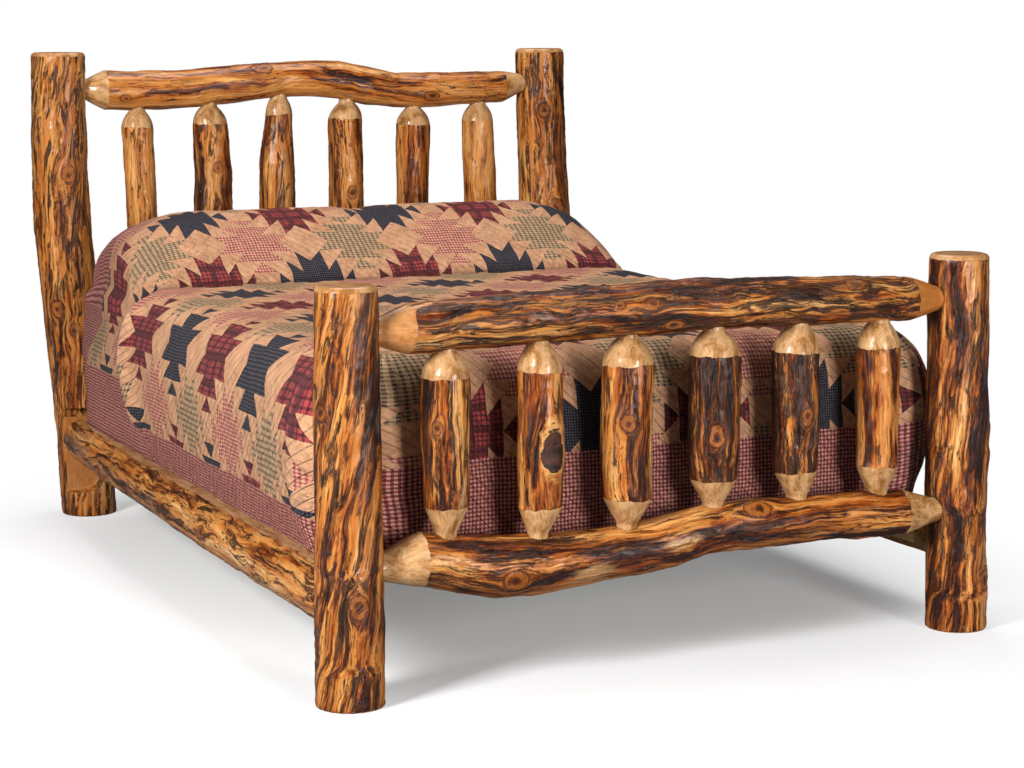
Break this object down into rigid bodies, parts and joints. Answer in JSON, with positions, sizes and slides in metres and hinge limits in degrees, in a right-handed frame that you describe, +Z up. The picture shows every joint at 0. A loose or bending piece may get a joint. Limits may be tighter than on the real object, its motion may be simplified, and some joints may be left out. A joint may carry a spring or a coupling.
{
  "type": "bed",
  "caption": "Rustic log bed with a headboard and footboard of pointed spindles, half-log side rails, slats, foundation, mattress, pillows and a patchwork quilt.",
  "frame": {"origin": "on the floor, in the middle of the four posts", "axes": "+X across the bed to the right seen from the foot, +Y from the footboard to the headboard, +Z up"},
  "size_m": [1.7671, 2.4582, 1.374],
  "materials": {
    "peeled_log": "glossy varnish",
    "sawn_pine": "planed",
    "plate_steel": "zinc plated",
    "screw_steel": "zinc plated",
    "ticking": "woven",
    "pillow_cotton": "woven",
    "quilt_cotton": "quilted cotton"
  },
  "bodies": {
    "frame": {"head_post_left": "peeled_log", "head_post_right": "peeled_log", "foot_post_left": "peeled_log", "foot_post_right": "peeled_log", "head_top_rail": "peeled_log", "head_bottom_rail": "peeled_log", "foot_top_rail": "peeled_log", "foot_bottom_rail": "peeled_log", "head_spindle_1": "peeled_log", "head_spindle_2": "peeled_log", "head_spindle_3": "peeled_log", "head_spindle_4": "peeled_log", "head_spindle_5": "peeled_log", "head_spindle_6": "peeled_log", "foot_spindle_1": "peeled_log", "foot_spindle_2": "peeled_log", "foot_spindle_3": "peeled_log", "foot_spindle_4": "peeled_log", "foot_spindle_5": "peeled_log", "foot_spindle_6": "peeled_log", "side_rail_left": "peeled_log", "side_rail_right": "peeled_log", "ledger_left": "sawn_pine", "ledger_right": "sawn_pine", "slat_1": "sawn_pine", "slat_2": "sawn_pine", "slat_3": "sawn_pine", "slat_4": "sawn_pine", "slat_5": "sawn_pine", "slat_6": "sawn_pine", "slat_7": "sawn_pine", "hook_plate_foot_left": "plate_steel", "hook_plate_foot_right": "plate_steel", "hook_plate_head_left": "plate_steel", "hook_plate_head_right": "plate_steel", "slot_plate_foot_left": "plate_steel", "slot_plate_foot_right": "plate_steel", "slot_plate_head_left": "plate_steel", "slot_plate_head_right": "plate_steel", "plate_screws": "screw_steel", "ledger_screws": "screw_steel", "slat_screws": "screw_steel"},
    "foundation": {"foundation": "ticking"},
    "mattress": {"mattress": "ticking", "pillow_left": "pillow_cotton", "pillow_right": "pillow_cotton", "quilt": "quilt_cotton"}
  },
  "joints": [
    {"name": "foundation_lift", "type": "slide", "parent": "frame", "child": "foundation", "axis": [0, 0, 1], "range_m": [0, 0.45]},
    {"name": "mattress_lift", "type": "slide", "parent": "foundation", "child": "mattress", "axis": [0, 0, 1], "range_m": [0, 0.5]}
  ]
}
